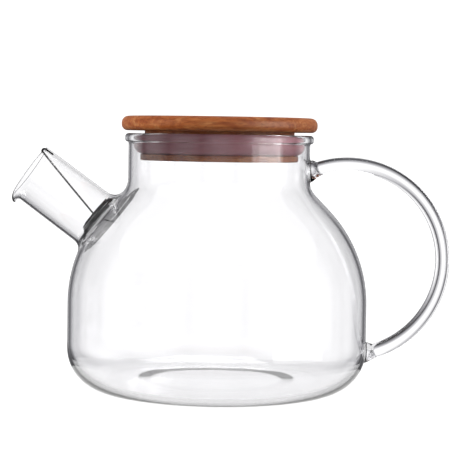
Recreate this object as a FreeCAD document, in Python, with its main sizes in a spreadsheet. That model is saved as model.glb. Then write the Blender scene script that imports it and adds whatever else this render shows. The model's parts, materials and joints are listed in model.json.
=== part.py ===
"""A one-litre borosilicate glass teapot with a bamboo lid and a wire strainer in its spout.

Every glass, bamboo, silicone and steel piece is its own object and its own STEP file. The origin is on
the pot's upright axis, at the height of the surface that it stands on. +Z is up, the handle points
along +X and the spout along -X. Lengths are in millimetres and angles in degrees.
"""

import FreeCAD, Part
import math
import os
import re
import Sketcher

Vector = FreeCAD.Vector

DIMENSIONS = {
    # The pot: one blown wall of even thickness, standing on a flat ring round a raised centre.
    "belly_radius": 66.0,
    "wall": 1.8,
    "foot_corner": 18.7,
    "kick_up_inner": 29.0,
    "kick_up_outer": 35.0,
    "kick_up_rise": 1.6,
    "kick_up_corner": 3.5,
    "shoulder_height": 62.6,
    "shoulder_slope": 46.0,
    "shoulder_corner": 60.0,
    "neck_radius": 40.0,
    "neck_corner": 3.0,
    "rim_height": 113.0,
    "bead_height": 3.6,
    "bead_stand_out": 1.5,
    "bead_corner": 1.2,
    "bead_neck_corner": 0.5,
    # The spout: a straight tube, cut square at its mouth, with a small pouring lip underneath.
    "mouth_x": -83.5,
    "mouth_height": 95.1,
    "spout_rise": 35.2,
    "mouth_radius": 12.2,
    "root_radius": 12.9,
    "spout_wall": 1.6,
    "spout_reach": 26.0,
    "flare_start": 33.5,
    "flare_radius": 19.0,
    "flare_corner": 5.0,
    "lip_length": 3.8,
    "lip_drop": 2.6,
    "lip_tip": 1.8,
    "lip_width": 7.0,
    "lip_corner": 0.7,
    # The handle: a solid glass rod bent to one arc and welded to the neck and to the belly.
    "handle_x": 57.2,
    "handle_height": 58.5,
    "handle_bend": 42.2,
    "handle_rod": 3.1,
    "handle_sweep_up": 124.0,
    "handle_sweep_down": 92.0,
    "weld_spread": 1.8,
    "weld_length": 2.6,
    "upper_weld_turn": 110.0,
    "lower_weld_turn": -76.0,
    # The lid: two glued bamboo boards with a silicone ring in the groove between them.
    "board_radius": 43.1,
    "board_height": 114.2,
    "board_thickness": 6.4,
    "board_edge": 2.6,
    "plug_core": 33.0,
    "plug_flange": 34.8,
    "plug_bottom": 101.3,
    "plug_flange_thickness": 2.7,
    "plug_edge": 0.6,
    "seal_fit": 0.05,
    "seal_radius": 37.7,
    "seal_top": 112.0,
    "seal_lower_corner": 4.0,
    "seal_upper_corner": 0.8,
    "seal_band": 1.3,
    "seal_groove": 0.5,
    # The strainer: one steel wire, a wide flat flange inside the pot and a coiled cup in the spout.
    "wire_radius": 0.33,
    "coil_centre_x": -46.9,
    "coil_centre_height": 74.7,
    "coil_rise": 39.5,
    "flange_turns": 2,
    "flange_first": 15.5,
    "flange_last": 14.4,
    "flange_pitch": 0.3,
    "cone_turns": 4,
    "cone_first": 12.9,
    "cone_last": 9.3,
    "cone_pitch": 1.0,
    "cup_turns": 3,
    "cup_first": 8.7,
    "cup_last": 7.5,
    "cup_pitch": 1.0,
    "cap_turns": 5,
    "cap_first": 6.6,
    "cap_last": 0.9,
    "cap_pitch": 0.05,
    "coil_lean": 0.8,
    "coil_lean_limit": 2.4,
    "tail_bend": 1.3,
    "hook_radius": 1.45,
    "hook_leg": 3.6,
    "hook_over_mouth": 0.75,
}

doc = FreeCAD.newDocument("GlassTeapot")
sheet = doc.addObject("Spreadsheet::Sheet", "Dims")
for row, (alias, value) in enumerate(DIMENSIONS.items(), start=1):
    cell = "B%d" % row
    sheet.set("A%d" % row, alias)
    sheet.set(cell, str(value))
    sheet.setAlias(cell, alias)
doc.recompute()


def evaluate(expression):
    """The value of a text such as 'Dims.wall * 2', as the sheet works it out now."""
    return float(sheet.evalExpression(str(expression)))


def dims(text):
    """The text as an expression: each word that names a cell gets the sheet's name before it."""
    def named(word):
        return "Dims." + word[0] if word[0] in DIMENSIONS else word[0]

    return re.sub(r"(?<![\w.])[a-z]\w*", named, text)


def value(text):
    return evaluate(dims(text))


def new_body(label):
    body = doc.addObject("PartDesign::Body", label)
    body.Label = label
    return body


def origin_plane(body, role):
    return next(part for part in body.Origin.OriginFeatures if part.Role == role)


def new_sketch(body, name, role="XZ_Plane", offset=None):
    """A sketch on one of the body's own planes. offset holds the expressions of its moved origin
    (along the sketch's x, y and normal) and of its turn about the normal."""
    sketch = body.newObject("Sketcher::SketchObject", name)
    sketch.AttachmentSupport = [(origin_plane(body, role), "")]
    sketch.MapMode = "FlatFace"
    for field, text in (offset or {}).items():
        sketch.setExpression("AttachmentOffset." + field, dims(text))
    doc.recompute()
    return sketch


def corner_arc(before, corner, after, radius):
    """The start, end and circle centre of the arc that rounds a corner between two straight lines."""
    back = (before - corner).normalize()
    onward = (after - corner).normalize()
    half = back.getAngle(onward) / 2
    reach = radius / math.tan(half)
    centre = corner + (back + onward).normalize() * (radius / math.sin(half))
    return corner + back * reach, corner + onward * reach, centre


def draw_outline(sketch, corners):
    """A closed outline given by its sharp corners, each (x, y, radius), where a radius of None leaves
    the corner sharp. Every corner's place and every radius is bound to the sheet."""
    points = [Vector(value(x), value(y), 0) for x, y, _ in corners]
    count = len(corners)
    starts = list(points)
    ends = list(points)
    arcs = {}
    for index, (_, _, radius) in enumerate(corners):
        if radius is not None:
            arc = corner_arc(points[index - 1], points[index], points[(index + 1) % count], value(radius))
            ends[index], starts[index], arcs[index] = arc
    lines = []
    for index in range(count):
        segment = Part.LineSegment(starts[index], ends[(index + 1) % count])
        lines.append(sketch.addGeometry(segment, False))
    for index, (x, y, radius) in enumerate(corners):
        line_in, line_out = lines[index - 1], lines[index]
        if radius is None:
            sketch.addConstraint(Sketcher.Constraint("Coincident", line_in, 2, line_out, 1))
            place(sketch, line_out, points[index], x, y)
            continue
        centre = arcs[index]
        spoke_in = ends[index] - centre
        spoke_out = starts[index] - centre
        left_turn = spoke_in.cross(spoke_out).z > 0
        first, last = (spoke_in, spoke_out) if left_turn else (spoke_out, spoke_in)
        circle = Part.Circle(centre, Vector(0, 0, 1), spoke_in.Length)
        arc = Part.ArcOfCircle(circle, math.atan2(first.y, first.x), math.atan2(last.y, last.x))
        curve = sketch.addGeometry(arc, False)
        near, far = (1, 2) if left_turn else (2, 1)
        sketch.addConstraint(Sketcher.Constraint("Tangent", line_in, 2, curve, near))
        sketch.addConstraint(Sketcher.Constraint("Tangent", curve, far, line_out, 1))
        rounding = sketch.addConstraint(Sketcher.Constraint("Radius", curve, spoke_in.Length))
        sketch.setExpression("Constraints[%d]" % rounding, dims(radius))
        sharp = sketch.addGeometry(Part.Point(points[index]), True)
        sketch.addConstraint(Sketcher.Constraint("PointOnObject", sharp, 1, line_in))
        sketch.addConstraint(Sketcher.Constraint("PointOnObject", sharp, 1, line_out))
        place(sketch, sharp, points[index], x, y)
    doc.recompute()


def place(sketch, geometry, point, x, y):
    """Bind the start of a sketch's line, or a point, to two expressions."""
    for kind, size, text in (("DistanceX", point.x, x), ("DistanceY", point.y, y)):
        number = sketch.addConstraint(Sketcher.Constraint(kind, -1, 1, geometry, 1, size))
        sketch.setExpression("Constraints[%d]" % number, dims(text))


def draw_circle(sketch, x, y, radius):
    centre = Vector(value(x), value(y), 0)
    circle = sketch.addGeometry(Part.Circle(centre, Vector(0, 0, 1), value(radius)), False)
    for kind, size, text in (("DistanceX", centre.x, x), ("DistanceY", centre.y, y)):
        number = sketch.addConstraint(Sketcher.Constraint(kind, -1, 1, circle, 3, size))
        sketch.setExpression("Constraints[%d]" % number, dims(text))
    number = sketch.addConstraint(Sketcher.Constraint("Radius", circle, value(radius)))
    sketch.setExpression("Constraints[%d]" % number, dims(radius))
    doc.recompute()


def turn(body, kind, name, sketch, axis):
    """A full Revolution or Groove of a sketch about one of its own axes."""
    before = 0 if body.Shape.isNull() else body.Shape.Volume
    feature = body.newObject("PartDesign::" + kind, name)
    feature.Profile = sketch
    feature.ReferenceAxis = (sketch, [axis])
    feature.Angle = 360
    doc.recompute()
    if kind == "Groove" and not body.Shape.Volume < before:
        raise RuntimeError("%s cuts nothing" % name)
    return feature


UPRIGHT = "V_Axis"
INNER_DROP = "wall * (1 - sin(shoulder_slope)) / cos(shoulder_slope)"
NECK_HEIGHT = "shoulder_height + (belly_radius - neck_radius) * tan(shoulder_slope)"


def outer_corners():
    """The pot's outer line from the raised centre of its base up to the top of the rim."""
    return [
        ("0", "kick_up_rise", None),
        ("kick_up_inner", "kick_up_rise", "kick_up_corner"),
        ("kick_up_outer", "0", "kick_up_corner"),
        ("belly_radius", "0", "foot_corner"),
        ("belly_radius", "shoulder_height", "shoulder_corner"),
        ("neck_radius", NECK_HEIGHT, "neck_corner"),
        ("neck_radius", "rim_height - bead_height", "bead_neck_corner"),
        ("neck_radius + bead_stand_out", "rim_height - bead_height", "bead_corner"),
        ("neck_radius + bead_stand_out", "rim_height", "bead_corner"),
    ]


def inner_corners():
    """The pot's inner line from the top of the rim down to the middle of the floor."""
    return [
        ("neck_radius - wall", "rim_height", "bead_corner"),
        ("neck_radius - wall", "%s - %s" % (NECK_HEIGHT, INNER_DROP), "neck_corner + wall"),
        ("belly_radius - wall", "shoulder_height - %s" % INNER_DROP, "shoulder_corner - wall"),
        ("belly_radius - wall", "wall", "foot_corner - wall"),
        ("kick_up_outer", "wall", "kick_up_corner"),
        ("kick_up_inner", "kick_up_rise + wall", "kick_up_corner"),
        ("0", "kick_up_rise + wall", None),
    ]


def cut_by_pot(body):
    """Take away what reaches inside the pot's outer face, so that a welded piece ends on that face."""
    sketch = new_sketch(body, body.Label + "_pot_face")
    draw_outline(sketch, outer_corners() + [("0", "rim_height", None)])
    turn(body, "Groove", body.Label + "_trim", sketch, UPRIGHT)


SPOUT_FRAME = {
    "Base.x": "mouth_x",
    "Base.y": "mouth_height",
    "Rotation.Angle": "180 - spout_rise",
}
ROOT_BORE = "root_radius - spout_wall"
MOUTH_BORE = "mouth_radius - spout_wall"
# The flare widens at 45 degrees, so its inner line starts later by the wall times tan(45 / 2).
OUTER_FLARE_END = "-flare_start - (flare_radius - root_radius)"
INNER_FLARE_START = "-flare_start - spout_wall * tan(45 / 2)"
INNER_FLARE_END = INNER_FLARE_START + " - (flare_radius - root_radius)"
INNER_FLARE_RADIUS = "flare_radius - spout_wall"


def make_glass_body():
    body = new_body("glass_body")
    section = new_sketch(body, "pot_section")
    draw_outline(section, outer_corners() + inner_corners())
    turn(body, "Revolution", "pot_wall", section, UPRIGHT)
    bore = new_sketch(body, "spout_bore", offset=SPOUT_FRAME)
    draw_outline(bore, [
        ("-flare_start / 2", "0", None),
        ("-flare_start / 2", MOUTH_BORE, None),
        (INNER_FLARE_START, ROOT_BORE, "flare_corner + spout_wall"),
        (INNER_FLARE_END, INNER_FLARE_RADIUS, None),
        ("-flare_start - spout_reach", INNER_FLARE_RADIUS, None),
        ("-flare_start - spout_reach", "0", None),
    ])
    turn(body, "Groove", "spout_hole", bore, "H_Axis")
    return body


def make_glass_spout():
    body = new_body("glass_spout")
    tube = new_sketch(body, "spout_section", offset=SPOUT_FRAME)
    draw_outline(tube, [
        ("0", MOUTH_BORE, None),
        ("0", "mouth_radius", None),
        ("-flare_start", "root_radius", "flare_corner"),
        (OUTER_FLARE_END, "flare_radius", None),
        (INNER_FLARE_END, "flare_radius", None),
        (INNER_FLARE_END, INNER_FLARE_RADIUS, None),
        (INNER_FLARE_START, ROOT_BORE, "flare_corner + spout_wall"),
    ])
    turn(body, "Revolution", "spout_tube", tube, "H_Axis")
    lip = new_sketch(body, "lip_section", offset=SPOUT_FRAME)
    draw_outline(lip, [
        ("0", "mouth_radius - spout_wall / 2", None),
        ("-lip_tip / 2", "mouth_radius + lip_drop", "lip_corner"),
        ("-lip_tip - lip_corner", "mouth_radius + lip_drop", "lip_corner"),
        ("-lip_length", "mouth_radius - spout_wall / 2", None),
    ])
    pad = body.newObject("PartDesign::Pad", "pouring_lip")
    pad.Profile = lip
    pad.Midplane = True
    pad.setExpression("Length", dims("lip_width"))
    doc.recompute()
    cut_by_pot(body)
    return body


def make_glass_handle():
    body = new_body("glass_handle")
    rod = new_sketch(body, "rod_section", "XY_Plane", {"Base.z": "handle_height", "Base.x": "handle_x"})
    draw_circle(rod, "handle_bend", "0", "handle_rod")
    bend = body.newObject("PartDesign::Revolution", "bent_rod")
    bend.Profile = rod
    bend.ReferenceAxis = (rod, [UPRIGHT])
    bend.Type = "TwoAngles"
    bend.Reversed = True
    bend.setExpression("Angle", dims("handle_sweep_up"))
    bend.setExpression("Angle2", dims("handle_sweep_down"))
    doc.recompute()
    for name, angle, side in (("upper_weld", "upper_weld_turn", ""), ("lower_weld", "lower_weld_turn", "-")):
        frame = {
            "Base.x": "handle_x + handle_bend * cos(%s)" % angle,
            "Base.y": "handle_height + handle_bend * sin(%s)" % angle,
            "Rotation.Angle": angle,
        }
        weld = new_sketch(body, name + "_section", offset=frame)
        draw_outline(weld, [
            ("0", side + "weld_length * -1", None),
            ("handle_rod", side + "weld_length * -1", None),
            ("handle_rod + weld_spread", "0", None),
            ("handle_rod + weld_spread", side + "weld_length * 2", None),
            ("0", side + "weld_length * 2", None),
        ])
        turn(body, "Revolution", name, weld, UPRIGHT)
    cut_by_pot(body)
    return body


def make_lid_top_board():
    body = new_body("lid_top_board")
    body.setExpression("Placement.Base.z", dims("board_height"))
    disc = new_sketch(body, "board_outline", "XY_Plane")
    draw_circle(disc, "0", "0", "board_radius")
    pad = body.newObject("PartDesign::Pad", "board_blank")
    pad.Profile = disc
    pad.setExpression("Length", dims("board_thickness"))
    doc.recompute()
    edge = body.newObject("PartDesign::Fillet", "board_rounded_edge")
    rings = [i for i, e in enumerate(pad.Shape.Edges, start=1) if e.Curve.TypeId == "Part::GeomCircle"]
    edge.Base = (pad, ["Edge%d" % i for i in rings])
    edge.setExpression("Radius", dims("board_edge"))
    doc.recompute()
    return body


def make_lid_plug_board():
    body = new_body("lid_plug_board")
    section = new_sketch(body, "plug_section")
    flange_top = "plug_bottom + plug_flange_thickness"
    draw_outline(section, [
        ("0", "plug_bottom", None),
        ("plug_flange", "plug_bottom", "plug_edge"),
        ("plug_flange", flange_top, None),
        ("plug_core", flange_top, None),
        ("plug_core", "board_height", None),
        ("0", "board_height", None),
    ])
    turn(body, "Revolution", "plug_turned", section, UPRIGHT)
    return body


def make_silicone_seal():
    body = new_body("silicone_seal")
    section = new_sketch(body, "seal_section")
    bottom = "plug_bottom + plug_flange_thickness + seal_fit"
    inner = "plug_core + seal_fit"
    draw_outline(section, [
        (inner, bottom, None),
        ("seal_radius", bottom, "seal_lower_corner"),
        ("seal_radius", "seal_top - seal_band", "seal_groove / 2"),
        ("seal_radius - seal_groove", "seal_top - seal_band", None),
        ("seal_radius - seal_groove", "seal_top", "seal_upper_corner / 2"),
        (inner, "seal_top", None),
    ])
    turn(body, "Revolution", "seal_ring", section, UPRIGHT)
    return body


class CoilFrame:
    """Places in the strainer: 'across' lies in the plane of the flange, 'ahead' towards the mouth."""

    def __init__(self):
        rise = math.radians(value("coil_rise"))
        self.origin = Vector(value("coil_centre_x"), 0, value("coil_centre_height"))
        self.ahead = Vector(-math.cos(rise), 0, math.sin(rise))
        self.across = Vector(math.sin(rise), 0, math.cos(rise))

    def point(self, across, ahead):
        return self.origin + self.across * across + self.ahead * ahead


def coil_stations():
    """Where the wire crosses the strainer's middle plane, half a turn apart: (across, ahead).

    It winds from the wide flange through a cone to a cup, and closes the cup with a flat spiral.
    """
    stations = []
    side = 1
    ahead = 0
    for stage in ("flange", "cone", "cup", "cap"):
        turns, first, last, pitch = (
            value(stage + suffix) for suffix in ("_turns", "_first", "_last", "_pitch"))
        halves = int(2 * turns)
        for half in range(halves):
            radius = first + (last - first) * half / (halves - 1)
            lean = min(value("coil_lean") * ahead, value("coil_lean_limit"))
            stations.append((side * radius - lean, ahead))
            ahead += pitch / 2
            side = -side
    return stations


WIRE_VOLUME_TOLERANCE = 0.01


def wire_along(edges):
    """A round wire along a path of tangent lines and arcs, checked against its section and length."""
    path = Part.Wire(edges)
    start = edges[0].valueAt(edges[0].FirstParameter)
    direction = edges[0].tangentAt(edges[0].FirstParameter)
    radius = value("wire_radius")
    section = Part.Wire(Part.makeCircle(radius, start, direction))
    solid = path.makePipeShell([section], True, True)
    expected = math.pi * radius**2 * path.Length
    if abs(solid.Volume / expected - 1) > WIRE_VOLUME_TOLERANCE:
        raise RuntimeError("the wire's volume is %.2f, not %.2f" % (solid.Volume, expected))
    return solid


def half_turns():
    """Tangent half circles from station to station. Each leaves and arrives square to the middle
    plane, so the wire has no kink between them."""
    frame = CoilFrame()
    stations = [frame.point(*station) for station in coil_stations()]
    edges = []
    side = 1
    for first, last in zip(stations, stations[1:]):
        bulge = Vector(0, side * (last - first).Length / 2, 0)
        edges.append(Part.Arc(first, (first + last) / 2 + bulge, last).toShape())
        side = -side
    return edges, stations[-1], side


def tail_edges():
    """From the last half turn the wire bends forward, runs up inside the spout and hooks over the
    top of the mouth, where a short leg lies along the outside of the tube."""
    _, start, side = half_turns()
    rise = math.radians(value("spout_rise"))
    ahead = Vector(-math.cos(rise), 0, math.sin(rise))
    above = Vector(math.sin(rise), 0, math.cos(rise))
    mouth = Vector(value("mouth_x"), 0, value("mouth_height"))
    bend = value("tail_bend")
    hook = value("hook_radius")
    outward = Vector(0, side * bend, 0)
    middle_of_rim = value("mouth_radius") - value("spout_wall") / 2
    hook_centre = mouth + ahead * value("hook_over_mouth") + above * middle_of_rim + outward
    run_end = hook_centre - above * hook
    direction = (run_end - start - outward).normalize()
    run_start = start + direction * bend + outward
    halfway = start + direction * bend * (1 - math.sqrt(0.5)) + outward * math.sqrt(0.5)
    edges = [Part.Arc(start, halfway, run_start).toShape()]
    direction = (run_end - run_start).normalize()
    turn_middle = hook_centre + ahead * hook
    turn_end = hook_centre + above * hook
    edges.append(Part.LineSegment(run_start, run_end).toShape())
    edges.append(Part.Arc(run_end, turn_middle, turn_end).toShape())
    edges.append(Part.LineSegment(turn_end, turn_end - ahead * value("hook_leg")).toShape())
    return edges


def add_shape(label, shape):
    feature = doc.addObject("Part::Feature", label)
    feature.Label = label
    feature.Shape = shape
    feature.Placement = FreeCAD.Placement()
    return feature


def make_strainer_coil():
    return add_shape("strainer_coil", wire_along(half_turns()[0]))


def make_strainer_tail():
    return add_shape("strainer_tail", wire_along(tail_edges()))


sub_parts = [
    make_glass_body(),
    make_glass_spout(),
    make_glass_handle(),
    make_lid_top_board(),
    make_lid_plug_board(),
    make_silicone_seal(),
    make_strainer_coil(),
    make_strainer_tail(),
]
doc.recompute()

failed = [part.Label for part in doc.Objects if "Invalid" in part.State or "Error" in part.State]
if failed:
    raise RuntimeError("failed objects: %s" % ", ".join(failed))
for sub_part in sub_parts:
    if sub_part.Shape.isNull() or not sub_part.Shape.isValid():
        raise RuntimeError("%s has no valid shape" % sub_part.Label)

os.makedirs("parts", exist_ok=True)
for sub_part in sub_parts:
    sub_part.Shape.exportStep("parts/%s.step" % sub_part.Label)
    box = sub_part.Shape.BoundBox
    print("%-16s %d solid, %8.0f mm3, x %.1f..%.1f y %.1f..%.1f z %.1f..%.1f" % (
        sub_part.Label, len(sub_part.Shape.Solids), sub_part.Shape.Volume,
        box.XMin, box.XMax, box.YMin, box.YMax, box.ZMin, box.ZMax))
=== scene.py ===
import json
import math

import bmesh
import bpy
from mathutils import Matrix, Vector


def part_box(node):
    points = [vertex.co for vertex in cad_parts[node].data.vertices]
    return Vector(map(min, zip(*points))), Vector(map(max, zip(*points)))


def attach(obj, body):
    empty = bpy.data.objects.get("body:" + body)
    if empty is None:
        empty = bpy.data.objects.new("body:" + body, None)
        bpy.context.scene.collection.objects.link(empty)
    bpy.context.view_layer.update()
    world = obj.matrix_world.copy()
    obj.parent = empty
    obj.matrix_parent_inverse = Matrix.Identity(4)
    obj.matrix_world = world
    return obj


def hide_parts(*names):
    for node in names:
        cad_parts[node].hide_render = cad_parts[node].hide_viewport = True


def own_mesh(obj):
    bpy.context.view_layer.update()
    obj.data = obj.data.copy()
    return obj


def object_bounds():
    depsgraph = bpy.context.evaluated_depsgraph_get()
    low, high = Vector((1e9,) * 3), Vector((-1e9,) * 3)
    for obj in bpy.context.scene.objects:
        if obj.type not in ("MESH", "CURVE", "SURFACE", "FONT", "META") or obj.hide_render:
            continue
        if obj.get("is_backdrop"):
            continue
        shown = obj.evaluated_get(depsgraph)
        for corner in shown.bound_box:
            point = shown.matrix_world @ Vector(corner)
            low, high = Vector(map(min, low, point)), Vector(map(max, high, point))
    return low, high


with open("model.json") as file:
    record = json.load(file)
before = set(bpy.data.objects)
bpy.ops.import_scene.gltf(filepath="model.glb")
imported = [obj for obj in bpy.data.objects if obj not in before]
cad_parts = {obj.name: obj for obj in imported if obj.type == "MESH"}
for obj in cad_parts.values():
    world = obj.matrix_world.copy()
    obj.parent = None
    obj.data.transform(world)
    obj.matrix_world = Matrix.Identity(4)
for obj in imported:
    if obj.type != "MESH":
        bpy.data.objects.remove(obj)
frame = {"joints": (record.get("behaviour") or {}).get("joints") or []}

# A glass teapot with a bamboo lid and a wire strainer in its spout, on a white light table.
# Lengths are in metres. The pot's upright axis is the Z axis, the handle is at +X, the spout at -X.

cad_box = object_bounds()
MM = 0.001

# ---------------------------------------------------------------- sizes

pot_high = Vector(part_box("glass_body")[1])
board_low, board_high = (Vector(corner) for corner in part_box("lid_top_board"))
plug_low, plug_high = (Vector(corner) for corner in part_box("lid_plug_board"))
seal_low, seal_high = (Vector(corner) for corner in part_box("silicone_seal"))

BELLY_RADIUS = pot_high.x
RIM_HEIGHT = pot_high.z
WALL = 1.8 * MM
FOOT_CORNER = 18.7 * MM
KICK_UP_INNER = 29.0 * MM
KICK_UP_OUTER = 35.0 * MM
KICK_UP_RISE = 0.8 * MM
FLOOR_HEIGHT = 2.6 * MM
KICK_UP_CORNER = 3.5 * MM
SHOULDER_HEIGHT = 62.6 * MM
SHOULDER_SLOPE = math.radians(46)
SHOULDER_CORNER = 60.0 * MM
NECK_RADIUS = 40.0 * MM
NECK_CORNER = 9.0 * MM
BEAD_STAND_OUT = 1.5 * MM
BEAD_HEIGHT = 3.6 * MM

slide = next(joint for joint in frame["joints"] if joint["name"] == "strainer_slide")
SPOUT_AXIS = -Vector(slide["axis"]).normalized()
SPOUT_ABOVE = Vector((SPOUT_AXIS.z, 0, -SPOUT_AXIS.x))
MOUTH = Vector((-83.5, 0, 95.1)) * MM
MOUTH_RADIUS = 12.7 * MM
ROOT_RADIUS = 12.9 * MM
SPOUT_WALL = 0.9 * MM
MOUTH_LIFT = SPOUT_ABOVE * 0.55 * MM
LIP_LENGTH = 3.8 * MM
LIP_TURN = math.radians(112)
LIP_HALF_ANGLE = math.radians(30)

# How far from the spout's axis its weld starts on the pot, and how far up the spout it ends: each
# under the spout, and how much more on top of it.
SPOUT_FOOT = (17.0 * MM, 1.0 * MM)
SPOUT_FILLET = (4.0 * MM, 1.5 * MM)

HANDLE_CENTRE = Vector((57.2, 0, 58.5)) * MM
HANDLE_BEND = 42.2 * MM
HANDLE_ROD = 3.1 * MM
UPPER_WELD_TURN = math.radians(114)
LOWER_WELD_TURN = math.radians(-78)

WIRE_RADIUS = 0.38 * MM
COIL_CENTRE = Vector((-46.9, 0, 74.7)) * MM
COIL_RISE = math.radians(39.5)
COIL_AHEAD = Vector((-math.cos(COIL_RISE), 0, math.sin(COIL_RISE)))
COIL_ACROSS = Vector((math.sin(COIL_RISE), 0, math.cos(COIL_RISE)))
COIL_LEAN = 0.8
COIL_LEAN_LIMIT = 2.4 * MM
HOOK_TURN = math.radians(24)

# The winding's stages: turns, first and last radius, and the advance in each turn.
COIL_STAGES = (
    (2, 17.4 * MM, 16.2 * MM, 0.3 * MM),
    (4, 14.4 * MM, 10.4 * MM, 1.0 * MM),
    (3, 9.7 * MM, 8.4 * MM, 1.0 * MM),
    (5, 7.4 * MM, 0.9 * MM, 0.05 * MM),
)

# The turned surfaces' points in each ring, and the middle ring of those that reach their axis.
COLUMNS = 192
MIDDLE_RADIUS = 0.5 * MM


# ---------------------------------------------------------------- mesh helpers

def smooth(value):
    """Ease from 0 to 1 with no slope at either end."""
    value = min(max(value, 0.0), 1.0)
    return value * value * (3 - 2 * value)


def even_angles(count):
    return [2 * math.pi * number / count for number in range(count)]


def bezier(first, middle, last, share):
    return first * (1 - share) ** 2 + middle * (2 * share * (1 - share)) + last * share ** 2


def arc_points(centre, first, second, sweep, count):
    """Points of an arc from centre + first, which turns towards centre + second."""
    turns = [sweep * number / count for number in range(count + 1)]
    return [centre + first * math.cos(turn) + second * math.sin(turn) for turn in turns]


class Outline:
    """A line through corners (radius, height, rounding), measured by its length."""

    def __init__(self, corners):
        points = [Vector((r, z)) for r, z, _ in corners]
        self.pieces = []
        start = points[0]
        for index in range(1, len(points) - 1):
            corner, rounding = points[index], corners[index][2]
            back = (points[index - 1] - corner).normalized()
            onward = (points[index + 1] - corner).normalized()
            half = back.angle(onward) / 2
            reach = rounding / math.tan(half)
            arc_start, arc_end = corner + back * reach, corner + onward * reach
            self.pieces.append(("line", start, arc_start))
            centre = corner + (back + onward).normalized() * rounding / math.sin(half)
            sweep = math.pi - 2 * half
            if back.x * onward.y - back.y * onward.x > 0:
                sweep = -sweep
            self.pieces.append(("arc", centre, arc_start - centre, sweep))
            start = arc_end
        self.pieces.append(("line", start, points[-1]))
        self.lengths = [self.measure(piece) for piece in self.pieces]
        self.length = sum(self.lengths)

    @staticmethod
    def measure(piece):
        if piece[0] == "line":
            return (piece[2] - piece[1]).length
        return abs(piece[3]) * piece[2].length

    def at(self, distance):
        """The (radius, height) at a distance along the line."""
        for piece, length in zip(self.pieces, self.lengths):
            if distance <= length or piece is self.pieces[-1]:
                share = min(max(distance / length, 0.0), 1.0)
                break
            distance -= length
        if piece[0] == "line":
            return piece[1].lerp(piece[2], share)
        turn = piece[3] * share
        x, y = piece[2]
        cosine, sine = math.cos(turn), math.sin(turn)
        return piece[1] + Vector((x * cosine - y * sine, x * sine + y * cosine))

    def stations(self, step, arc_step):
        """Distances along the line, closer together in its tight arcs."""
        result = [0.0]
        base = 0.0
        for piece, length in zip(self.pieces, self.lengths):
            count = max(1, math.ceil(length / step))
            if piece[0] == "arc":
                count = max(count, math.ceil(abs(piece[3]) / arc_step))
            result += [base + length * (number + 1) / count for number in range(count)]
            base += length
        return result

    def point(self, distance, angle):
        """A point of the turned surface."""
        radius, height = self.at(distance)
        return Vector((radius * math.cos(angle), radius * math.sin(angle), height))

    def turned_ring(self, distance):
        radius, height = self.at(distance)
        return [Vector((radius * math.cos(angle), radius * math.sin(angle), height))
                for angle in even_angles(COLUMNS)]


class Skin:
    """Points and faces being gathered into one mesh."""

    def __init__(self):
        self.points = []
        self.faces = []

    def ring(self, points):
        start = len(self.points)
        self.points += points
        return list(range(start, len(self.points)))

    def band(self, first, second):
        """Quads between two closed rings of as many points."""
        count = len(first)
        for number in range(count):
            following = (number + 1) % count
            self.faces.append((first[number], first[following], second[following], second[number]))

    def bands(self, rings):
        for first, second in zip(rings, rings[1:]):
            self.band(first, second)

    def cap(self, ring, centre):
        middle = self.ring([centre])[0]
        count = len(ring)
        for number in range(count):
            self.faces.append((ring[number], ring[(number + 1) % count], middle))

    def build(self, name, material):
        mesh = bpy.data.meshes.new(name)
        mesh.from_pydata([tuple(point) for point in self.points], [], self.faces)
        used = bmesh.new()
        used.from_mesh(mesh)
        loose = [vertex for vertex in used.verts if not vertex.link_faces]
        bmesh.ops.delete(used, geom=loose, context="VERTS")
        bmesh.ops.recalc_face_normals(used, faces=used.faces)
        used.to_mesh(mesh)
        used.free()
        mesh.shade_smooth()
        mesh.materials.append(material)
        piece = bpy.data.objects.new(name, mesh)
        bpy.context.scene.collection.objects.link(piece)
        return piece


class Tube:
    """A straight axis, with the directions across it of angle 0 and of a quarter turn."""

    def __init__(self, origin, along, start, side):
        self.origin = origin
        self.along = along.normalized()
        self.start = start.normalized()
        self.side = side.normalized()

    def off_axis(self, point):
        return (point - self.origin).cross(self.along).length

    def reach(self, point):
        return (point - self.origin).dot(self.along)

    def angle(self, point):
        arm = point - self.origin
        return math.atan2(arm.dot(self.side), arm.dot(self.start)) % (2 * math.pi)

    def point(self, reach, radius, angle):
        across = self.start * math.cos(angle) + self.side * math.sin(angle)
        return self.origin + self.along * reach + across * radius


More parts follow.
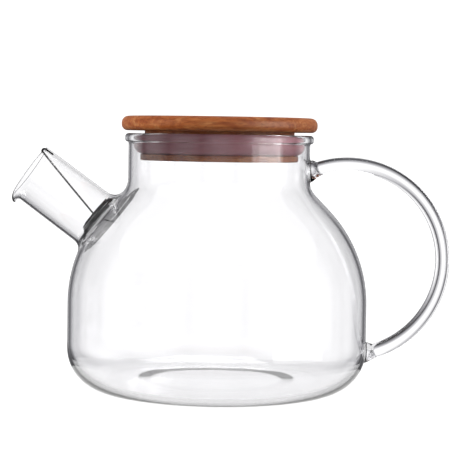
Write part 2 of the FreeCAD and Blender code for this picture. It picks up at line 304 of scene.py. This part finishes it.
class Window:
    """A block of cells left out of a turned grid, round the place where a tube meets it.

    Its loop of points starts at the middle of its first row, or of its last row with from_last.
    """

    def __init__(self, outline, stations, centre, column,
                 half_columns, below, above, from_last=False):
        self.outline = outline
        self.centre = centre
        self.turn = 2 * math.pi * column / COLUMNS
        nearest = min(range(len(stations)), key=lambda index: abs(stations[index] - centre))
        self.first_row, self.last_row = nearest - below, nearest + above
        self.columns = (column - half_columns, column + half_columns)
        first, last = self.columns
        near, far, step = self.first_row, self.last_row, 1
        if from_last:
            near, far, step = far, near, -1
        self.loop = [(near, c) for c in range(column, last)]
        self.loop += [(r, last) for r in range(near, far, step)]
        self.loop += [(far, c) for c in range(last, first, -1)]
        self.loop += [(r, first) for r in range(far, near, -step)]
        self.loop += [(near, c) for c in range(first, column)]
        self.places = [(stations[r], 2 * math.pi * c / COLUMNS) for r, c in self.loop]

    def holds(self, row, column):
        first, last = self.columns
        inside = any(first <= column + wrap < last for wrap in (-COLUMNS, 0, COLUMNS))
        return inside and self.first_row <= row < self.last_row

    def surface(self, number, share):
        """The surface's point at a share of the way from the centre to a point of the loop."""
        distance, angle = self.places[number]
        return self.outline.point(
            self.centre + (distance - self.centre) * share, self.turn + (angle - self.turn) * share)

    def share_at(self, number, tube, radius):
        """The share where the surface is a radius away from the tube's axis."""
        near, far = 0.0, 1.0
        halvings = 30
        for _ in range(halvings):
            middle = (near + far) / 2
            if tube.off_axis(self.surface(number, middle)) < radius:
                near = middle
            else:
                far = middle
        return near


def turned_grid(skin, outline, stations, windows):
    """The surface of a turned outline as rings of quads, less the cells of the windows."""
    rows = [skin.ring(outline.turned_ring(distance)) for distance in stations]
    for row in range(len(stations) - 1):
        for column in range(COLUMNS):
            if any(window.holds(row, column) for window in windows):
                continue
            following = (column + 1) % COLUMNS
            skin.faces.append((rows[row][column], rows[row][following],
                               rows[row + 1][following], rows[row + 1][column]))
    return rows


def weld(skin, rows, window, tube, foot, throat, height, collar_rings=6, weld_rings=10):
    """Join a window to a tube: rings on the surface, then a fillet that turns up the tube.

    foot and height give, for an angle round the tube, how far from its axis the fillet leaves the
    surface and how far up the tube it ends. throat is the tube's radius. The result is the last
    ring with the angle and the reach of each of its points.
    """
    angles, feet, knees, tops = [], [], [], []
    for number in range(len(window.loop)):
        knee = window.surface(number, window.share_at(number, tube, throat))
        angle = tube.angle(knee)
        if number == 0 and angle > math.pi:
            angle -= 2 * math.pi
        angles.append(angle)
        feet.append(window.share_at(number, tube, foot(angle)))
        knees.append(knee)
        tops.append(tube.point(tube.reach(knee) + height(angle), throat, angle))
    rings = [[rows[r][c % COLUMNS] for r, c in window.loop]]
    for step in range(1, collar_rings + 1):
        shares = [1 + (share - 1) * step / collar_rings for share in feet]
        rings.append(skin.ring([
            window.surface(number, share) for number, share in enumerate(shares)]))
    bases = [window.surface(number, share) for number, share in enumerate(feet)]
    for step in range(1, weld_rings + 1):
        share = step / weld_rings
        rings.append(skin.ring([bezier(*bend, share) for bend in zip(bases, knees, tops)]))
    skin.bands(rings)
    return rings[-1], angles, [tube.reach(top) for top in tops]


# ---------------------------------------------------------------- glass

def pot_outline():
    """The pot's section, from under the base's middle, over the rim, to the floor's middle."""
    drop = WALL * (1 - math.sin(SHOULDER_SLOPE)) / math.cos(SHOULDER_SLOPE)
    neck_foot = SHOULDER_HEIGHT + (BELLY_RADIUS - NECK_RADIUS) * math.tan(SHOULDER_SLOPE)
    bead_foot = RIM_HEIGHT - BEAD_HEIGHT
    bead_slope = 0.3 * MM
    bead_radius = NECK_RADIUS + BEAD_STAND_OUT
    bead_hollow, bead_corner, rim_corner = 0.7 * MM, 1.0 * MM, 1.45 * MM
    return Outline([
        (MIDDLE_RADIUS, KICK_UP_RISE, 0),
        (KICK_UP_INNER, KICK_UP_RISE, KICK_UP_CORNER),
        (KICK_UP_OUTER, 0, KICK_UP_CORNER),
        (BELLY_RADIUS, 0, FOOT_CORNER),
        (BELLY_RADIUS, SHOULDER_HEIGHT, SHOULDER_CORNER),
        (NECK_RADIUS, neck_foot, NECK_CORNER),
        (NECK_RADIUS, bead_foot - bead_slope, bead_hollow),
        (bead_radius, bead_foot + bead_slope, bead_corner),
        (bead_radius, RIM_HEIGHT, rim_corner),
        (NECK_RADIUS - WALL, RIM_HEIGHT, rim_corner),
        (NECK_RADIUS - WALL, neck_foot - drop, NECK_CORNER + WALL),
        (BELLY_RADIUS - WALL, SHOULDER_HEIGHT - drop, SHOULDER_CORNER - WALL),
        (BELLY_RADIUS - WALL, FLOOR_HEIGHT, FOOT_CORNER - WALL),
        (MIDDLE_RADIUS, FLOOR_HEIGHT, 0),
    ])


def where_axis_meets(outline, tube, angle, inside):
    """How far along the outer or the inner side, clear of the base, the tube's axis passes."""
    base_share, steps = 0.2, 4000
    start, end = outline.length * base_share, outline.length / 2
    if inside:
        start, end = end, outline.length * (1 - base_share)
    distances = [start + (end - start) * number / steps for number in range(steps + 1)]
    return min(distances, key=lambda distance: tube.off_axis(outline.point(distance, angle)))


def lip_bend(angle):
    """How far the mouth's edge is turned out: fully at the bottom, not at all round the rest."""
    off_bottom = min(angle, 2 * math.pi - angle)
    return LIP_TURN * math.exp(-(off_bottom / LIP_HALF_ANGLE) ** 2)


def mouth_wall(angle, back, side):
    """The reach and radius of the mouth's wall, back from its edge.

    side is 1 for its outer face, 0 for the middle of the wall and -1 for its inner face.
    """
    turn_rate = lip_bend(angle) / LIP_LENGTH
    done = LIP_LENGTH - back
    turned = turn_rate * done
    reach, rise = done, 0.0
    barely_turned = 1e-6
    if turned > barely_turned:
        reach, rise = math.sin(turned) / turn_rate, (1 - math.cos(turned)) / turn_rate
    half = SPOUT_WALL / 2
    reach -= LIP_LENGTH + math.sin(turned) * half * side
    return reach, MOUTH_RADIUS - half + rise + math.cos(turned) * half * side


def spout_side(skin, rows, window, tube, side):
    """The spout's outer (+1) or inner (-1) face, from its root to its mouth's rounded edge."""
    inset = 0.0 if side > 0 else SPOUT_WALL
    start_radius = ROOT_RADIUS - inset

    def graded(underneath, more, angle):
        """A measure that is more on top of the spout than underneath it."""
        return underneath + more * (1 - math.cos(angle)) / 2

    def foot(angle):
        return graded(*SPOUT_FOOT, angle)

    def height(angle):
        return graded(*SPOUT_FILLET, angle) + (WALL if side < 0 else 0)

    ring, angles, reaches = weld(skin, rows, window, tube, foot, start_radius, height)
    targets = even_angles(len(ring))
    body_rings, lip_rings = 18, 12
    rings = [ring]
    for step in range(1, body_rings + 1):
        share = step / body_rings
        points = []
        for start_angle, target, start_reach in zip(angles, targets, reaches):
            angle = start_angle + (target - start_angle) * smooth(share)
            end_reach, end_radius = mouth_wall(angle, LIP_LENGTH, side)
            reach = start_reach + (end_reach - start_reach) * share
            point = tube.point(reach, start_radius + (end_radius - start_radius) * share, angle)
            points.append(point + MOUTH_LIFT * share)
        rings.append(skin.ring(points))
    for step in range(1, lip_rings + 1):
        back = LIP_LENGTH * (1 - step / lip_rings)
        rings.append(skin.ring([
            tube.point(*mouth_wall(angle, back, side), angle) + MOUTH_LIFT for angle in targets]))
    skin.bands(rings)
    return rings[-1]


def mouth_edge(skin, tube, outer, inner):
    """The fire-polished edge: at each angle, half a circle from the outer face to the inner one."""
    half = SPOUT_WALL / 2
    steps = 8
    rings = [outer]
    for step in range(1, steps):
        ahead = half * math.sin(math.pi * step / steps)
        across = half * math.cos(math.pi * step / steps)
        points = []
        for angle in even_angles(len(outer)):
            turned = lip_bend(angle)
            reach, radius = mouth_wall(angle, 0.0, 0)
            reach += ahead * math.cos(turned) - across * math.sin(turned)
            radius += ahead * math.sin(turned) + across * math.cos(turned)
            points.append(tube.point(reach, radius, angle) + MOUTH_LIFT)
        rings.append(skin.ring(points))
    skin.bands(rings + [inner])


def handle_line(turn, way):
    """The straight line that leaves a weld along the rod. way is the bend's sense, -1 or 1."""
    outward = Vector((math.cos(turn), 0, math.sin(turn)))
    along = Vector((-math.sin(turn), 0, math.cos(turn))) * way
    return Tube(HANDLE_CENTRE + outward * HANDLE_BEND, along, -outward, Vector((0, 1, 0)))


def handle_point(turn, radius, angle):
    """A point of the bent rod: angle 0 is on the inside of the bend, a quarter turn is at +Y."""
    outward = Vector((math.cos(turn), 0, math.sin(turn)))
    centre = HANDLE_CENTRE + outward * HANDLE_BEND
    return centre - outward * radius * math.cos(angle) + Vector((0, radius * math.sin(angle), 0))


def make_handle(skin, rows, upper, lower):
    """The rod between its two welds, each a flat pad that narrows to the rod."""
    foot, pad, pad_height, pad_length = 6.4 * MM, 4.4 * MM, 0.7 * MM, 4.5 * MM
    neck_rings, rod_rings = 8, 96
    evening_rate = 6
    ends = []
    for window, turn, way in ((upper, UPPER_WELD_TURN, -1), (lower, LOWER_WELD_TURN, 1)):
        ring, angles, reaches = weld(
            skin, rows, window, handle_line(turn, way), lambda angle: foot, pad,
            lambda angle: pad_height, collar_rings=4, weld_rings=5)
        rings = [ring]
        for step in range(1, neck_rings + 1):
            share = step / neck_rings
            radius = pad + (HANDLE_ROD - pad) * smooth(share)
            gaps = [reach + (pad_length - reach) * share for reach in reaches]
            rings.append(skin.ring([
                handle_point(turn + way * gap / HANDLE_BEND, radius, angle)
                for gap, angle in zip(gaps, angles)]))
        skin.bands(rings)
        ends.append((rings[-1], angles, turn + way * pad_length / HANDLE_BEND))
    (first_ring, first_angles, first_turn), (last_ring, last_angles, last_turn) = ends
    rings = [first_ring]
    for step in range(1, rod_rings):
        share = step / rod_rings
        evened = smooth(evening_rate * min(share, 1 - share))
        points = []
        for first, last, even in zip(first_angles, last_angles, even_angles(len(first_ring))):
            angle = first + (last - first) * share
            turn = first_turn + (last_turn - first_turn) * share
            points.append(handle_point(turn, HANDLE_ROD, angle + (even - angle) * evened))
        rings.append(skin.ring(points))
    skin.bands(rings + [last_ring])


def make_pot(material):
    """Pot, spout and handle as the one piece of glass that their welds make of them."""
    row_step, row_turn = 1.9 * MM, math.radians(9)
    # The grid cells left out round each weld: columns to each side, rows before and rows after.
    spout_block, upper_block, lower_block = (12, 12, 12), (7, 5, 5), (5, 7, 7)
    outline = pot_outline()
    stations = outline.stations(row_step, row_turn)
    spout = Tube(MOUTH, SPOUT_AXIS, -SPOUT_ABOVE, Vector((0, -1, 0)))
    spout_column = COLUMNS // 2

    def window(line, column, block, inside=False, from_last=False):
        angle = 2 * math.pi * column / COLUMNS
        centre = where_axis_meets(outline, line, angle, inside)
        return Window(outline, stations, centre, column, *block, from_last)

    outer = window(spout, spout_column, spout_block)
    inner = window(spout, spout_column, spout_block, inside=True, from_last=True)
    upper = window(handle_line(UPPER_WELD_TURN, -1), 0, upper_block)
    lower = window(handle_line(LOWER_WELD_TURN, 1), 0, lower_block, from_last=True)
    skin = Skin()
    rows = turned_grid(skin, outline, stations, [outer, inner, upper, lower])
    skin.cap(rows[0], Vector((0, 0, KICK_UP_RISE)))
    skin.cap(rows[-1], Vector((0, 0, FLOOR_HEIGHT)))
    outer_ring = spout_side(skin, rows, outer, spout, 1)
    inner_ring = spout_side(skin, rows, inner, spout, -1)
    mouth_edge(skin, spout, outer_ring, inner_ring)
    make_handle(skin, rows, upper, lower)
    return skin.build("pot_glass", material)


# ---------------------------------------------------------------- lid

def make_turned_board(name, corners, material):
    """A board turned about the upright axis. Its section starts and ends on that axis."""
    row_step, row_turn = 2 * MM, math.radians(10)
    bottom, top = corners[0][1], corners[-1][1]
    outline = Outline([(MIDDLE_RADIUS, bottom, 0)] + corners + [(MIDDLE_RADIUS, top, 0)])
    skin = Skin()
    rings = [skin.ring(outline.turned_ring(distance))
             for distance in outline.stations(row_step, row_turn)]
    skin.bands(rings)
    skin.cap(rings[0], Vector((0, 0, bottom)))
    skin.cap(rings[-1], Vector((0, 0, top)))
    return skin.build(name, material)


def make_top_board(material):
    lower_edge, upper_edge = 2.6 * MM, 3.0 * MM
    return make_turned_board("lid_disc", [
        (board_high.x, board_low.z, lower_edge),
        (board_high.x, board_high.z, upper_edge),
    ], material)


def make_plug_board(material):
    core, flange_thickness, glue_line = 33.0 * MM, 2.7 * MM, 0.02 * MM
    lower_edge, edge, upper_edge = 0.6 * MM, 0.35 * MM, 0.1 * MM
    flange_top = plug_low.z + flange_thickness
    return make_turned_board("lid_plug", [
        (plug_high.x, plug_low.z, lower_edge),
        (plug_high.x, flange_top, edge),
        (core, flange_top, edge),
        (core, plug_high.z - glue_line, upper_edge),
    ], material)


def make_seal(material):
    """A silicone ring with a round lower corner and a shallow step under its upper edge."""
    inner, band, groove = 33.05 * MM, 1.4 * MM, 0.5 * MM
    lower_corner, upper_corner, edge = 4.3 * MM, 0.5 * MM, 0.18 * MM
    row_step, row_turn = 1.2 * MM, math.radians(10)
    low, high, radius = seal_low.z, seal_high.z, seal_high.x
    halfway = (low + high) / 2
    outline = Outline([
        (inner, halfway, 0),
        (inner, low, edge),
        (radius, low, lower_corner),
        (radius, high - band, edge),
        (radius - groove, high - band, edge),
        (radius - groove, high, upper_corner),
        (inner, high, edge),
        (inner, halfway, 0),
    ])
    skin = Skin()
    stations = outline.stations(row_step, row_turn)[:-1]
    rings = [skin.ring(outline.turned_ring(distance)) for distance in stations]
    skin.bands(rings + rings[:1])
    return skin.build("seal_ring", material)


# ---------------------------------------------------------------- strainer

def winding_path():
    """The winding's centre line: flange, cone, cup and the flat spiral that closes the cup."""
    stations = []
    ahead = 0.0
    for turns, first, last, pitch in COIL_STAGES:
        halves = 2 * turns
        for half in range(halves):
            stations.append((first + (last - first) * half / (halves - 1), ahead))
            ahead += pitch / 2
    half_turn_steps = 26
    path = []
    for half, (start, end) in enumerate(zip(stations, stations[1:])):
        for step in range(half_turn_steps):
            share = step / half_turn_steps
            path.append(winding_point(half + share, start, end, share))
    path.append(winding_point(len(stations) - 1, stations[-1], stations[-1], 0))
    return path


def winding_point(half_turns, start, end, share):
    """The winding's point at a share of the way from one (radius, advance) to the next."""
    radius = start[0] + (end[0] - start[0]) * share
    ahead = start[1] + (end[1] - start[1]) * share
    lean = min(COIL_LEAN * ahead, COIL_LEAN_LIMIT)
    turn = math.pi * half_turns
    return (COIL_CENTRE + COIL_AHEAD * ahead + COIL_ACROSS * (radius * math.cos(turn) - lean)
            + Vector((0, radius * math.sin(turn), 0)))


def hook_path(start, heading):
    """From the closed cup forward along the spout and over its mouth, a little in front of its top.

    heading is 1 or -1: the way along Y that the winding's last turn was going.
    """
    bend, hook, leg, over_mouth = 1.3 * MM, 1.2 * MM, 3.6 * MM, -0.5 * MM
    bend_steps, run_steps, hook_steps, leg_steps = 8, 30, 24, 6
    sideways = Vector((0, heading * bend, 0))
    outward = SPOUT_ABOVE * math.cos(HOOK_TURN) - Vector((0, math.sin(HOOK_TURN), 0))
    rim_middle = MOUTH_LIFT + outward * (MOUTH_RADIUS - SPOUT_WALL / 2)
    hook_centre = MOUTH + SPOUT_AXIS * over_mouth + rim_middle + sideways
    run_end = hook_centre - outward * hook
    ahead = (run_end - start - sideways).normalized() * bend
    points = arc_points(start + ahead, -ahead, sideways, math.pi / 2, bend_steps)
    run_start = points[-1]
    points += [run_start.lerp(run_end, step / run_steps) for step in range(1, run_steps)]
    points += arc_points(hook_centre, -outward * hook, SPOUT_AXIS * hook, math.pi, hook_steps)
    leg_start = points[-1]
    points += [leg_start - SPOUT_AXIS * leg * step / leg_steps for step in range(1, leg_steps + 1)]
    return points


def make_wire(name, path, material):
    """A round wire with rounded ends along a path. Its section is carried along untwisted."""
    sides, end_rings = 14, 4
    tangents = []
    for number in range(len(path)):
        before, after = path[max(number - 1, 0)], path[min(number + 1, len(path) - 1)]
        tangents.append((after - before).normalized())
    across = tangents[0].orthogonal().normalized()
    sections = []
    for point, tangent in zip(path, tangents):
        across = (across - tangent * across.dot(tangent)).normalized()
        sections.append(Tube(point, tangent, across, tangent.cross(across)))
    skin = Skin()

    def ring(section, swing):
        reach, radius = WIRE_RADIUS * math.sin(swing), WIRE_RADIUS * math.cos(swing)
        return skin.ring([section.point(reach, radius, angle) for angle in even_angles(sides)])

    swings = [math.pi / 2 * step / end_rings for step in range(1, end_rings)]
    rings = [ring(sections[0], -swing) for swing in reversed(swings)]
    rings += [ring(section, 0) for section in sections]
    rings += [ring(sections[-1], swing) for swing in swings]
    skin.bands(rings)
    skin.cap(rings[0], path[0] - tangents[0] * WIRE_RADIUS)
    skin.cap(rings[-1], path[-1] + tangents[-1] * WIRE_RADIUS)
    return skin.build(name, material)


# ---------------------------------------------------------------- materials

class NodeTree:
    """A node tree being wired up."""

    def __init__(self, tree):
        self.nodes = tree.nodes
        self.links = tree.links

    def put(self, socket, value):
        """Link a socket to another, or set it to a plain value."""
        if isinstance(value, bpy.types.NodeSocket):
            self.links.new(value, socket)
        else:
            socket.default_value = value

    def node(self, kind, inputs, **settings):
        made = self.nodes.new("ShaderNode" + kind)
        for setting, value in settings.items():
            setattr(made, setting, value)
        for name, value in inputs.items():
            self.put(made.inputs[name], value)
        return made

    def vector(self, operation, inputs, output="Vector"):
        """A vector sum. The output is Value where the result is a number."""
        return self.node("VectorMath", inputs, operation=operation).outputs[output]

    def math(self, operation, first, second=0.0):
        return self.node("Math", {0: first, 1: second}, operation=operation).outputs[0]

    def between(self, value, low, high):
        """The value carried from low..high to 0..1."""
        inputs = {"Value": value, "From Min": low, "From Max": high}
        return self.node("MapRange", inputs).outputs["Result"]

    def ramp(self, factor, stops):
        """A colour ramp through (position, colour), where a grey may be one number."""
        made = self.node("ValToRGB", {"Fac": factor})
        elements = made.color_ramp.elements
        while len(elements) < len(stops):
            elements.new(0.5)
        for element, (position, colour) in zip(elements, stops):
            red, green, blue = colour if isinstance(colour, tuple) else (colour,) * 3
            element.position = position
            element.color = (red, green, blue, 1)
        return made.outputs["Color"]

    def blend(self, kind, factor, first, second):
        made = self.node("Mix", {0: factor, 6: first, 7: second}, data_type="RGBA", blend_type=kind)
        return made.outputs[2]


class Finish(NodeTree):
    """A material on the Principled shader, with textures that lie in the object's own space."""

    def __init__(self, name):
        self.material = bpy.data.materials.new(name)
        self.material.use_nodes = True
        super().__init__(self.material.node_tree)
        self.surface = self.nodes["Principled BSDF"]
        self.place = self.node("TexCoord", {}).outputs["Object"]

    def set(self, values):
        for name, value in values.items():
            self.put(self.surface.inputs[name], value)

    def stretched(self, scale):
        return self.node("Mapping", {"Vector": self.place, "Scale": scale}).outputs["Vector"]

    def noise(self, vector, scale, detail=3.0, distortion=0.0):
        inputs = {"Vector": vector, "Scale": scale, "Detail": detail, "Distortion": distortion}
        return self.node("TexNoise", inputs).outputs["Fac"]

    def bump(self, height, strength, distance):
        made = self.node("Bump", {"Height": height, "Strength": strength, "Distance": distance})
        self.put(self.surface.inputs["Normal"], made.outputs["Normal"])


def glass_finish():
    """Clear borosilicate with the faint waves of a blown wall, grey where it is thick."""
    depth_tint, depth_density = (0.20, 0.18, 0.26, 1), 14.0
    finish = Finish("borosilicate_glass")
    finish.set({
        "Base Color": (0.985, 0.984, 0.990, 1),
        "Transmission Weight": 1.0,
        "IOR": 1.473,
        "Roughness": 0.0,
    })
    waves = finish.noise(finish.stretched((1, 1, 0.6)), 60, detail=1.0)
    finish.bump(waves, 0.01, 0.1 * MM)
    depth = finish.node("VolumeAbsorption", {"Color": depth_tint, "Density": depth_density})
    finish.put(finish.nodes["Material Output"].inputs["Volume"], depth.outputs["Volume"])
    return finish.material


def bamboo_finish():
    """Carbonised bamboo: strips along X, with long fibres, dark flecks and a wavy grain."""
    strip_width = 17 * MM
    finish = Finish("bamboo")
    waves = finish.noise(finish.stretched((0.30, 1, 1.7)), 170, detail=3.0, distortion=1.4)
    body = finish.ramp(waves, [
        (0.30, (0.260, 0.058, 0.011)),
        (0.50, (0.370, 0.108, 0.026)),
        (0.70, (0.470, 0.185, 0.062)),
    ])
    fibres = finish.noise(finish.stretched((0.10, 1, 1.3)), 1000, detail=4.0, distortion=0.5)
    fibre_tone = finish.ramp(fibres, [(0.36, (0.58, 0.50, 0.45)), (0.58, (1.0, 1.0, 1.0))])
    flecks = finish.noise(finish.stretched((0.25, 1, 1)), 2100, detail=2.0)
    fleck_tone = finish.ramp(flecks, [(0.32, (0.46, 0.38, 0.33)), (0.44, (1.0, 1.0, 1.0))])
    colour = finish.blend("MULTIPLY", 0.7, body, fibre_tone)
    colour = finish.blend("MULTIPLY", 0.5, colour, fleck_tone)
    across = finish.node("SeparateXYZ", {0: finish.place}).outputs["Y"]
    strip = finish.math("FLOOR", finish.math("DIVIDE", across, strip_width))
    chance = finish.node("TexWhiteNoise", {"W": strip}, noise_dimensions="1D").outputs["Value"]
    strip_tone = finish.ramp(chance, [(0.0, 0.86), (1.0, 1.0)])
    colour = finish.blend("MULTIPLY", 1.0, colour, strip_tone)
    finish.set({
        "Base Color": colour,
        "Roughness": finish.ramp(fibres, [(0.3, 0.58), (0.7, 0.42)]),
        "Coat Weight": 0.2,
        "Coat Roughness": 0.35,
    })
    finish.bump(fibres, 0.4, 0.1 * MM)
    return finish.material


def silicone_finish():
    """Soft mauve-grey silicone that lets a little light in."""
    finish = Finish("silicone")
    clouds = finish.noise(finish.stretched((1, 1, 3)), 90)
    dust = finish.noise(finish.place, 2500, detail=2.0)
    finish.set({
        "Base Color": finish.ramp(clouds, [
            (0.3, (0.345, 0.135, 0.158)),
            (0.7, (0.410, 0.186, 0.212)),
        ]),
        "Roughness": finish.ramp(dust, [(0.3, 0.36), (0.7, 0.48)]),
        "Subsurface Weight": 0.25,
        "Subsurface Radius": (1.0, 0.6, 0.6),
        "Subsurface Scale": 1.5 * MM,
        "IOR": 1.41,
    })
    finish.bump(dust, 0.08, 0.05 * MM)
    return finish.material


def steel_finish():
    """Drawn stainless wire, darker and lighter by its distance from the winding's axis: a
    near-black base with lighter turns, as painted shade and painted highlights for the dark sides
    and bright lines of the turns.
    """
    finish = Finish("steel_wire")
    streaks = finish.noise(finish.place, 1400, distortion=0.8)
    offset = finish.vector("SUBTRACT", {0: finish.place, 1: COIL_CENTRE})
    ahead = finish.vector("DOT_PRODUCT", {0: offset, 1: COIL_AHEAD}, "Value")
    along = finish.vector("SCALE", {0: COIL_AHEAD, "Scale": ahead})
    outward = finish.vector("SUBTRACT", {0: offset, 1: along})
    radius = finish.vector("LENGTH", {0: outward}, "Value")
    inputs = {"W": radius, "Scale": 300.0, "Detail": 2.0}
    turns = finish.node("TexNoise", inputs, noise_dimensions="1D").outputs["Fac"]
    # Painted highlight and painted shade: each turn's tone, from near black to grey, stands in for
    # the light and dark lines along the wires.
    finish.set({
        "Base Color": finish.ramp(turns, [
            (0.44, (0.003, 0.003, 0.004)),
            (0.56, (0.20, 0.20, 0.20)),
        ]),
        "Roughness": finish.ramp(streaks, [(0.3, 0.28), (0.7, 0.14)]),
        "Metallic": 1.0,
        "Specular Tint": (0.35, 0.35, 0.35, 1),
    })
    return finish.material


def table_finish():
    """Opal glass lit from below, white to the camera and a little dimmer to every other ray."""
    finish = Finish("light_table")
    seen = finish.node("LightPath", {}).outputs["Is Camera Ray"]
    strength = finish.math("MAXIMUM", seen, TABLE_LIGHT)
    grain = finish.noise(finish.place, 700, detail=2.0)
    finish.set({
        "Base Color": (0.05, 0.05, 0.05, 1),
        "Roughness": 0.9,
        "Emission Color": (1, 1, 1, 1),
        "Emission Strength": strength,
    })
    finish.bump(grain, 0.02, 0.05 * MM)
    return finish.material


# ---------------------------------------------------------------- table, light and camera

PANELS = 8
ROOM_LIGHT = 1.2
CEILING_LIGHT = 0.90
FLOOR_LIGHT = 0.08
GAP_LIGHT = 0.03
SHADE_TINT = (0.94, 0.93, 1.0, 1)
TABLE_LIGHT = 0.85
MIRRORED_LIGHT = 0.22


def elevation(degrees):
    """Where a height above the horizon, in degrees, falls between straight down (0) and up (1)."""
    return degrees / 180 + 0.5


def make_table():
    """A small round light table, as white as the room behind it."""
    radii, sides = (2 * MM, 40 * MM, 84 * MM), 96
    clearance = 0.05 * MM
    below = Vector((0, 0, -clearance))
    skin = Skin()
    rings = []
    for radius in radii:
        rings.append(skin.ring([
            Vector((math.cos(angle), math.sin(angle), 0)) * radius + below
            for angle in even_angles(sides)]))
    skin.bands(rings)
    skin.cap(rings[0], below)
    table = skin.build("light_table", table_finish())
    if table.data.polygons[0].normal.z < 0:
        table.data.flip_normals()
    table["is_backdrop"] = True


def light_room():
    """A white room, and plain white to the camera itself.

    Rays through the glass see white panels all round, with dark gaps between them that draw its
    edges, a white ceiling, and a floor that is dark except straight below. Mirrored rays see one
    plain grey in place of the panels.
    """
    world = bpy.data.worlds.new("studio")
    world.use_nodes = True
    bpy.context.scene.world = world
    tree = NodeTree(world.node_tree)
    tree.nodes.clear()
    direction = tree.node("TexCoord", {}).outputs["Generated"]
    parts = tree.node("SeparateXYZ", {0: direction})
    bearing = tree.math("ARCTAN2", parts.outputs["Y"], parts.outputs["X"])
    rising = tree.math("ARCSINE", parts.outputs["Z"])
    waves = tree.math("COSINE", tree.math("MULTIPLY", bearing, PANELS))
    across = tree.ramp(tree.between(waves, -1, 1), [
        (0.00, GAP_LIGHT),
        (0.03, 0.18),
        (0.14, 0.45),
        (0.31, 0.56),
        (0.45, 0.65),
        (0.59, 0.76),
        (0.72, 0.92),
        (0.85, 1.00),
    ])
    gap_height = tree.ramp(tree.between(rising, -math.pi / 2, math.pi / 2), [
        (elevation(9), 0.0),
        (elevation(24), 0.40),
    ])
    across = tree.blend("MIX", gap_height, across, (1, 1, 1, 1))
    mirrored = tree.node("LightPath", {}).outputs["Is Reflection Ray"]
    plain = tree.blend("MIX", MIRRORED_LIGHT, (0, 0, 0, 1), (1, 1, 1, 1))
    across = tree.blend("MIX", mirrored, across, plain)
    upward = tree.ramp(tree.between(rising, -math.pi / 2, math.pi / 2), [
        (elevation(-72), 0.75),
        (elevation(-60), 0.45),
        (elevation(-48), FLOOR_LIGHT),
        (elevation(-32), FLOOR_LIGHT),
        (elevation(-20), 0.45),
        (elevation(-9), 1.0),
        (elevation(15), 1.0),
        (elevation(40), CEILING_LIGHT),
    ])
    room = tree.blend("MULTIPLY", 1.0, across, upward)
    tinted = tree.blend("MIX", tree.math("MULTIPLY", room, ROOM_LIGHT), SHADE_TINT, (1, 1, 1, 1))
    room = tree.blend("MULTIPLY", 1.0, room, tinted)
    seen = tree.node("LightPath", {}).outputs["Is Camera Ray"]
    colour = tree.blend("MIX", seen, room, (1, 1, 1, 1))
    background = tree.node("Background", {"Color": colour, "Strength": ROOM_LIGHT})
    output = tree.node("OutputWorld", {})
    tree.put(output.inputs["Surface"], background.outputs[0])


def add_soft_box(name, bearing, height, distance, width, tall, power,
                 in_mirrors=True, in_glass=True):
    """A lit panel that faces the pot's neck. bearing is in degrees from +X towards +Y.

    in_mirrors and in_glass say whether mirrored rays, and rays through glass, meet it.
    """
    neck = Vector((0, 0, 0.1))
    angle = math.radians(bearing)
    spot = Vector((math.cos(angle) * distance, math.sin(angle) * distance, height))
    lamp = bpy.data.lights.new(name, "AREA")
    lamp.shape = "RECTANGLE"
    lamp.size = width
    lamp.size_y = tall
    lamp.energy = power
    light = bpy.data.objects.new(name, lamp)
    light.location = spot
    light.rotation_euler = (spot - neck).to_track_quat("Z", "Y").to_euler()
    light.visible_camera = False
    light.visible_glossy = in_mirrors
    light.visible_transmission = in_glass
    bpy.context.scene.collection.objects.link(light)


def add_camera():
    """A long lens a little above the lid, square to the spout and the handle."""
    distance, target_x, target_z = 720 * MM, 5.01 * MM, 71.1 * MM
    pitch, roll = math.radians(3.3), math.radians(0.9)
    sensor_width, focal_length = 36, 127.9
    nearest = 10 * MM
    data = bpy.data.cameras.new("camera")
    data.sensor_width = sensor_width
    data.lens = focal_length
    data.clip_start = nearest
    camera = bpy.data.objects.new("camera", data)
    place = Matrix.Translation((target_x, -distance, target_z + distance * math.tan(pitch)))
    aim = Matrix.Rotation(math.pi / 2 - pitch, 4, "X") @ Matrix.Rotation(roll, 4, "Z")
    camera.matrix_world = place @ aim
    bpy.context.scene.collection.objects.link(camera)
    bpy.context.scene.camera = camera


# ---------------------------------------------------------------- the whole scene

def install(piece, body, slot, *nodes):
    """Say which body a piece moves with and the CAD nodes it stands for; slot is not used."""
    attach(piece, body)
    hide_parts(*nodes)


add_camera()
bpy.context.scene.view_settings.view_transform = "Standard"
light_room()
make_table()
add_soft_box("front_right_box", -26, 0.30, 1.0, 0.85, 0.9, 5)
add_soft_box("left_fill", -158, 0.35, 1.0, 0.6, 0.9, 15, in_mirrors=False, in_glass=False)
add_soft_box("right_fill", -22, 0.35, 1.0, 0.6, 0.9, 7, in_mirrors=False)
add_soft_box("top_box", 80, 1.0, 0.35, 0.6, 0.6, 6, in_mirrors=False)

glass = glass_finish()
bamboo = bamboo_finish()
silicone = silicone_finish()
steel = steel_finish()

install(make_pot(glass), "pot", "borosilicate_glass", "glass_body", "glass_spout", "glass_handle")
install(make_top_board(bamboo), "lid", "bamboo", "lid_top_board")
install(make_plug_board(bamboo), "lid", "bamboo", "lid_plug_board")
install(make_seal(silicone), "seal", "silicone", "silicone_seal")
winding = winding_path()
install(make_wire("strainer_winding", winding, steel), "strainer", "steel_wire", "strainer_coil")
heading = 1 if winding[-1].y > winding[-2].y else -1
hook = make_wire("strainer_hook", hook_path(winding[-1], heading), steel)
install(hook, "strainer", "steel_wire", "strainer_tail")
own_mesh(hook)

boxes = {"cad": cad_box, "visual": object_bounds()}
{name: [list(corner) for corner in box] for name, box in boxes.items()}
